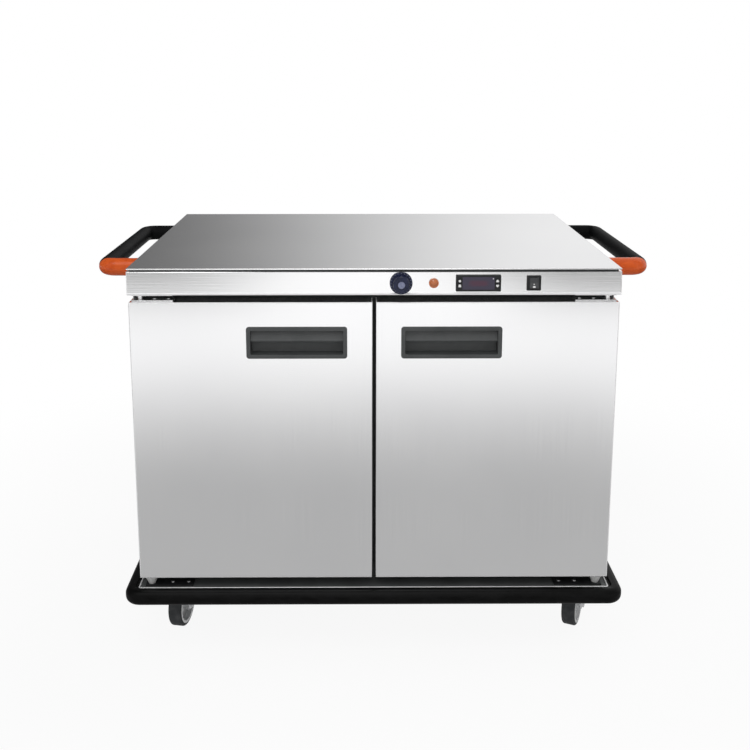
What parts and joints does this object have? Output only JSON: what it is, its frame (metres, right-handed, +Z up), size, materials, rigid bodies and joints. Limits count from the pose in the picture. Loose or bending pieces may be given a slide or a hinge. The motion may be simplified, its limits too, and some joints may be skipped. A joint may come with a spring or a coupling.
{
  "type": "heated banquet cart",
  "caption": "Low insulated stainless cabinet on swivel castors with two doors on pivot hinges, recessed pulls, a control header, side push handles and a wrap-round bumper.",
  "frame": {"origin": "on the floor, under the middle of the cart and its bumper", "axes": "+X to the right as seen from the doors, +Y from the doors to the back, +Z up"},
  "size_m": [1.192, 0.76, 0.85],
  "materials": {
    "steel": "brushed stainless",
    "liner": "mill stainless",
    "hinge": "bright stainless",
    "trim": "bright strip",
    "chassis": "dark powder coat",
    "wool": "mineral wool",
    "bumper": "satin black rubber",
    "grip": "soft black grip",
    "orange": "orange cover",
    "wire": "plated wire",
    "heater": "dark sheath",
    "motor": "painted motor",
    "black_plastic": "moulded black",
    "window": "dark window",
    "key": "dark key with a white mark",
    "lamp": "orange lens",
    "knob": "dark blue moulding",
    "pull": "charcoal moulding",
    "seal": "soft seal",
    "zinc": "bright zinc",
    "core": "grey moulding",
    "tyre": "dark tread",
    "pedal": "dark pedal"
  },
  "bodies": {
    "cabinet": {"worktop": "steel", "control_fascia": "steel", "cabinet_wrap": "steel", "front_frame": "liner", "cabinet_liner": "liner", "insulation": "wool", "base_frame": "chassis", "base_edge_trim": "trim", "bumper": "bumper", "handle_grip_left": "grip", "handle_grip_right": "grip", "handle_covers": "orange", "top_hinge_brackets": "hinge", "bottom_hinge_brackets": "hinge", "rack_uprights": "liner", "wire_shelves": "wire", "air_duct": "liner", "heater_element": "heater", "fan_motor": "motor", "water_tray": "liner", "controller_case": "black_plastic", "controller_window": "window", "switch_housing": "black_plastic", "pilot_lamp": "lamp", "thermostat_body": "motor", "power_inlet": "black_plastic", "castor_plates": "zinc"},
    "left_door": {"left_door_skin": "steel", "left_door_inner_pan": "liner", "left_door_core": "wool", "left_door_pull": "pull", "left_door_seal": "seal", "left_door_pivots": "hinge"},
    "right_door": {"right_door_skin": "steel", "right_door_inner_pan": "liner", "right_door_core": "wool", "right_door_pull": "pull", "right_door_seal": "seal", "right_door_pivots": "hinge"},
    "knob": {"thermostat_knob": "knob"},
    "rocker": {"switch_rocker": "black_plastic"},
    "set_key_body": {"set_key": "key"},
    "light_key_body": {"light_key": "key"},
    "up_key_body": {"up_key": "key"},
    "down_key_body": {"down_key": "key"},
    "fan": {"fan_wheel": "liner"},
    "castor_front_left": {"fork_front_left": "zinc"},
    "rolling_front_left": {"wheel_front_left": "core", "tyre_front_left": "tyre"},
    "castor_front_right": {"fork_front_right": "zinc"},
    "rolling_front_right": {"wheel_front_right": "core", "tyre_front_right": "tyre"},
    "castor_rear_left": {"fork_rear_left": "zinc"},
    "rolling_rear_left": {"wheel_rear_left": "core", "tyre_rear_left": "tyre"},
    "castor_rear_right": {"fork_rear_right": "zinc"},
    "rolling_rear_right": {"wheel_rear_right": "core", "tyre_rear_right": "tyre"},
    "pedal_left": {"brake_pedal_left": "pedal"},
    "pedal_right": {"brake_pedal_right": "pedal"}
  },
  "joints": [
    {"name": "left_door_hinge", "type": "hinge", "parent": "cabinet", "child": "left_door", "pos_m": [-0.477, -0.33, 0.176], "axis": [0, 0, -1], "range_deg": [0, 180]},
    {"name": "right_door_hinge", "type": "hinge", "parent": "cabinet", "child": "right_door", "pos_m": [0.477, -0.33, 0.176], "axis": [0, 0, 1], "range_deg": [0, 180]},
    {"name": "knob_turn", "type": "hinge", "parent": "cabinet", "child": "knob", "pos_m": [0.054, -0.35, 0.82], "axis": [0, 1, 0], "range_deg": [0, 270]},
    {"name": "rocker_tilt", "type": "hinge", "parent": "cabinet", "child": "rocker", "pos_m": [0.322, -0.349, 0.82], "axis": [1, 0, 0], "range_deg": [0, 14]},
    {"name": "set_key_press", "type": "slide", "parent": "cabinet", "child": "set_key_body", "axis": [0, 1, 0], "range_m": [0, 0.0005], "stiffness_N_per_m": 200},
    {"name": "light_key_press", "type": "slide", "parent": "cabinet", "child": "light_key_body", "axis": [0, 1, 0], "range_m": [0, 0.0005], "stiffness_N_per_m": 200},
    {"name": "up_key_press", "type": "slide", "parent": "cabinet", "child": "up_key_body", "axis": [0, 1, 0], "range_m": [0, 0.0005], "stiffness_N_per_m": 200},
    {"name": "down_key_press", "type": "slide", "parent": "cabinet", "child": "down_key_body", "axis": [0, 1, 0], "range_m": [0, 0.0005], "stiffness_N_per_m": 200},
    {"name": "fan_spin", "type": "hinge", "parent": "cabinet", "child": "fan", "pos_m": [0, 0.252, 0.502], "axis": [0, 1, 0], "continuous": true},
    {"name": "swivel_front_left", "type": "hinge", "parent": "cabinet", "child": "castor_front_left", "pos_m": [-0.44, -0.265, 0.128], "axis": [0, 0, 1], "continuous": true},
    {"name": "roll_front_left", "type": "hinge", "parent": "castor_front_left", "child": "rolling_front_left", "pos_m": [-0.43427, -0.2325, 0.05], "axis": [0.9848, -0.1736, 0], "continuous": true},
    {"name": "swivel_front_right", "type": "hinge", "parent": "cabinet", "child": "castor_front_right", "pos_m": [0.44, -0.265, 0.128], "axis": [0, 0, 1], "continuous": true},
    {"name": "roll_front_right", "type": "hinge", "parent": "castor_front_right", "child": "rolling_front_right", "pos_m": [0.45342, -0.23485, 0.05], "axis": [0.9135, -0.4067, 0], "continuous": true},
    {"name": "swivel_rear_left", "type": "hinge", "parent": "cabinet", "child": "castor_rear_left", "pos_m": [-0.44, 0.265, 0.128], "axis": [0, 0, 1], "continuous": true},
    {"name": "roll_rear_left", "type": "hinge", "parent": "castor_rear_left", "child": "rolling_rear_left", "pos_m": [-0.44798, 0.29702, 0.05], "axis": [0.9703, 0.2419, 0], "continuous": true},
    {"name": "swivel_rear_right", "type": "hinge", "parent": "cabinet", "child": "castor_rear_right", "pos_m": [0.44, 0.265, 0.128], "axis": [0, 0, 1], "continuous": true},
    {"name": "roll_rear_right", "type": "hinge", "parent": "castor_rear_right", "child": "rolling_rear_right", "pos_m": [0.44459, 0.29768, 0.05], "axis": [0.9903, -0.1392, 0], "continuous": true},
    {"name": "brake_left", "type": "hinge", "parent": "castor_front_left", "child": "pedal_left", "pos_m": [-0.42802, -0.19705, 0.0977], "axis": [-0.9848, 0.1736, 0], "range_deg": [0, 12]},
    {"name": "brake_right", "type": "hinge", "parent": "castor_front_right", "child": "pedal_right", "pos_m": [0.46807, -0.20197, 0.0977], "axis": [-0.9135, 0.4067, 0], "range_deg": [0, 12]}
  ]
}
